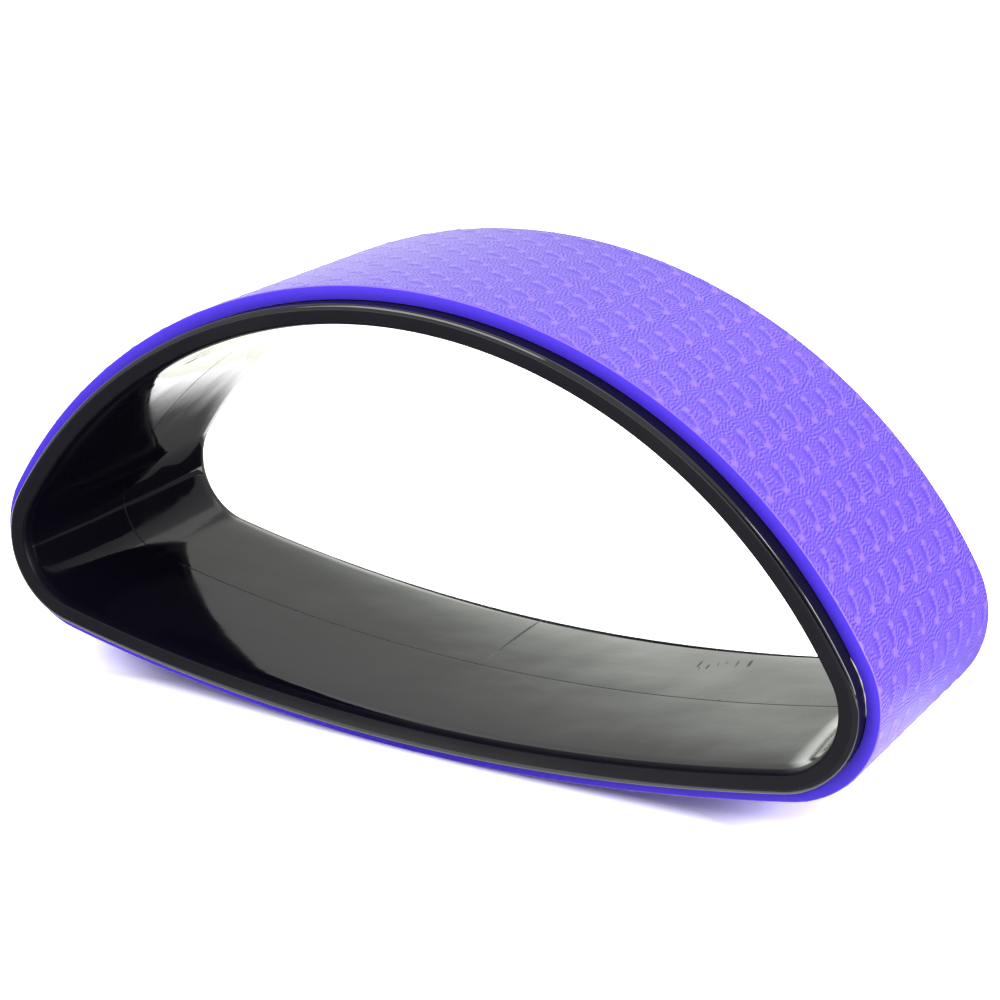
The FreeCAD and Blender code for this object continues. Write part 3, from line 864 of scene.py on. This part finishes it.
# Painted shade under the wheel and painted light away from it, seen by the camera only.
for side, near_edge, far_edge in SHADOW_REACH:
    off_middle = add(tree, "ShaderNodeMath", {0: spot.outputs[side]}, operation="ABSOLUTE")
    away = add(tree, "ShaderNodeMapRange", {
        "Value": off_middle.outputs[0], "From Min": near_edge, "From Max": far_edge,
        "To Min": PAPER_NEAR_SHADE, "To Max": PAPER_AWAY_LIGHT}, interpolation_type="SMOOTHSTEP")
    clear.append(away.outputs[0])
whiteness = add(tree, "ShaderNodeMath", {0: clear[0], 1: clear[1]}, operation="MAXIMUM")
seen_paper = add(tree, "ShaderNodeBsdfDiffuse", {"Color": whiteness.outputs[0]})
mirrored_paper = add(tree, "ShaderNodeBsdfDiffuse", {"Color": PAPER_MIRRORED})
lit = add(tree, "ShaderNodeMixShader", {0: by_camera, 1: paper.outputs[0], 2: seen_paper.outputs[0]})
both = add(tree, "ShaderNodeMixShader", {0: by_gloss, 1: lit.outputs[0], 2: mirrored_paper.outputs[0]})
add(tree, "ShaderNodeOutputMaterial", {"Surface": both.outputs[0]})
floor = stage_plane("floor", PAPER_SIZE, (0, 0, 0), FLAT, white_paper)
print("floor:", [round(side, 1) for side in floor.dimensions])

# %% [markdown]
# ## Cards for the gloss
# Gloss black shows the room it stands in, so the room matters as much as the lamps. A tall window stands
# behind on the left and dark walls behind on the right, dark cards lie where the table falls into shade, a
# low card darkens the rear lip, and a bright one on the right puts the glint on the rim. The cards are there
# for the gloss alone: the camera, the shadows and the soft light pass through them.

# %% Make and place the cards
# A finish is an axis, two (place, brightness) ends along it, a tint, and for the window a fade along its X.
WHITE = (1, 1, 1, 1)
UPRIGHT = math.pi / 2
CARD_FINISHES = {
    "black_card": ("X", (-0.5, 0.03), (0.5, 0.03), WHITE, None),
    "grey_card": ("X", (-0.5, 0.5), (0.0, 0.28), WHITE, None),
    "shaded_card": ("X", (-0.5, 0.22), (0.5, 0.22), WHITE, None),
    "side_card": ("X", (-0.464, 2.6), (-0.341, 0.22), WHITE, None),
    "front_card": ("X", (0.1, 0.3), (0.3, 0.6), WHITE, None),
    "window_card": ("Y", (-0.34, 2.6), (0.16, 0.75), (0.97, 1.0, 0.93, 1), (0.12, 0.22, 0.64)),
    "glint_card": ("X", (-0.5, 11.0), (0.5, 11.0), (0.97, 1.0, 0.88, 1), None),
}
# A card is its name, size, place, turn and finish.
CARDS = [
    ("black_card", (0.75, 0.8), (0.78, 0.85, 0.4), (UPRIGHT, 0, -math.radians(42)), "black_card"),
    ("grey_card", (2.4, 2.0), (1.1, 1.3, 1.0), (UPRIGHT, 0, -math.radians(40)), "grey_card"),
    ("shaded_card", (0.98, 1.2), (0.49, 0.69, 0.002), FLAT, "shaded_card"),
    ("side_card", (0.22, 0.18), (-0.11, 0.18, 0.002), FLAT, "side_card"),
    ("shadow_card", (0.32, 0.083), (0.04, 0.1085, 0.003), FLAT, "black_card"),
    ("front_card", (2.0, 1.2), (-0.5, -0.68, 0.002), FLAT, "front_card"),
    ("rear_card", (0.32, 0.16), (-0.01, 0.23, 0.003), FLAT, "black_card"),
    ("lip_card", (0.28, 0.027), (0.0, 0.12, 0.0135), (UPRIGHT, 0, 0), "black_card"),
    ("glint_card", (0.9, 0.9), (1.5, -0.1, 0.57), (UPRIGHT, 0, UPRIGHT), "glint_card"),
    ("camera_card", (1.25, 0.75), (0.725, -1.9, 0.375), (UPRIGHT, 0, 0), "black_card"),
    ("window_card", (0.9, 0.95), (-0.65, 1.13, 0.475), (UPRIGHT, 0, math.radians(30)), "window_card"),
]


def card_finish(name, axis, start, end, tint, fade):
    """Brightness that changes from one place to another along the card, and may fade along its X too."""
    material, tree = new_finish(name)
    place = add(tree, "ShaderNodeSeparateXYZ", {0: add(tree, "ShaderNodeTexCoord").outputs["Object"]})
    strength = add(tree, "ShaderNodeMapRange", {
        "Value": place.outputs[axis], "From Min": start[0], "From Max": end[0],
        "To Min": start[1], "To Max": end[1]}, interpolation_type="SMOOTHSTEP").outputs[0]
    if fade:
        share = add(tree, "ShaderNodeMapRange", {
            "Value": place.outputs["X"], "From Min": fade[0], "From Max": fade[1],
            "To Min": 1.0, "To Max": fade[2]}, interpolation_type="SMOOTHSTEP")
        faded = add(tree, "ShaderNodeMath", {0: strength, 1: share.outputs[0]}, operation="MULTIPLY")
        strength = faded.outputs[0]
    shade = add(tree, "ShaderNodeEmission", {"Color": tint, "Strength": strength})
    add(tree, "ShaderNodeOutputMaterial", {"Surface": shade.outputs[0]})
    return material


finishes = {name: card_finish(name, *settings) for name, settings in CARD_FINISHES.items()}
for name, size, place, turn, finish_name in CARDS:
    card = stage_plane(name, size, place, turn, finishes[finish_name])
    card.visible_camera = False
    card.visible_diffuse = False
    card.visible_shadow = False
print("cards:", len(CARDS))

# %% [markdown]
# ## Light
# A pale room gives soft light from all round, and looks white where it is seen. Four softboxes shape the
# wheel: a weak one overhead, a large one in front on the left for the cut edge and the rim, one on the right
# for the end, and a small bright key that draws the pattern.

# %% Room and softboxes
ROOM_LIGHT, ROOM_SEEN = 0.46, 1.0
AIM = (0, 0, 0.1)

scene = bpy.context.scene
scene.view_settings.view_transform = "Standard"
world = bpy.data.worlds.new("pale_room")
scene.world = world
world.use_nodes = True
tree = world.node_tree
tree.nodes.clear()
room = add(tree, "ShaderNodeBackground", {"Color": WHITE, "Strength": ROOM_LIGHT})
white = add(tree, "ShaderNodeBackground", {"Color": WHITE, "Strength": ROOM_SEEN})
by_camera, by_gloss = looks(tree)
seen = add(tree, "ShaderNodeMath", {0: by_camera, 1: by_gloss}, operation="MAXIMUM")
mix = add(tree, "ShaderNodeMixShader", {0: seen.outputs[0], 1: room.outputs[0], 2: white.outputs[0]})
add(tree, "ShaderNodeOutputWorld", {"Surface": mix.outputs[0]})


def softbox(name, place, size, brightness):
    """An area lamp whose face is that many times as bright as white paper in plain light."""
    lamp = bpy.data.lights.new(name, "AREA")
    lamp.shape = "RECTANGLE"
    lamp.size, lamp.size_y = size
    lamp.energy = brightness * math.pi * size[0] * size[1]
    holder = bpy.data.objects.new(name, lamp)
    scene.collection.objects.link(holder)
    holder.location = place
    holder.rotation_euler = (Vector(AIM) - Vector(place)).to_track_quat("-Z", "Y").to_euler()
    holder.visible_camera = False


softbox("overhead_softbox", place=(0.1, 0.1, 1.6), size=(1.2, 1.0), brightness=1.25)
softbox("front_softbox", place=(-0.85, -1.5, 1.3), size=(1.1, 0.9), brightness=6.6)
softbox("right_softbox", place=(1.6, -0.1, 0.6), size=(0.9, 0.9), brightness=8.2)
softbox("key_softbox", place=(0.88, -0.85, 0.9), size=(0.22, 0.22), brightness=22.0)
print("lamps:", [lamp.name for lamp in bpy.data.lights if lamp.name.endswith("softbox")])

# %% [markdown]
# ## Camera
# The camera's place, direction and focal length were fitted to the edges of the wheel in the photograph, so
# the render can be laid over it.

# %% Camera
CAMERA_PLACE = Vector((484.74, -858.75, 426.78)) * MM
AZIMUTH, ELEVATION, ROLL = 0.5058, 0.3306, 0.0156
FOCAL_PIXELS, FRAME_PIXELS = 2578.5, 1000
SENSOR_WIDTH = 36

level_forward = Vector((-math.sin(AZIMUTH), math.cos(AZIMUTH), 0))
forward = math.cos(ELEVATION) * level_forward - math.sin(ELEVATION) * Vector((0, 0, 1))
right = Vector((math.cos(AZIMUTH), math.sin(AZIMUTH), 0))
up = right.cross(forward)
rolled_right = math.cos(ROLL) * right + math.sin(ROLL) * up
rolled_up = -math.sin(ROLL) * right + math.cos(ROLL) * up
camera = bpy.data.cameras.new("photo_camera")
camera.sensor_width = SENSOR_WIDTH
camera.lens = camera.sensor_width * FOCAL_PIXELS / FRAME_PIXELS
holder = bpy.data.objects.new("photo_camera", camera)
turned = Matrix((rolled_right, rolled_up, -forward)).transposed().to_4x4()
holder.matrix_world = Matrix.Translation(CAMERA_PLACE) @ turned
scene.collection.objects.link(holder)
scene.camera = holder
print(f"camera: {camera.lens:.1f} mm lens")
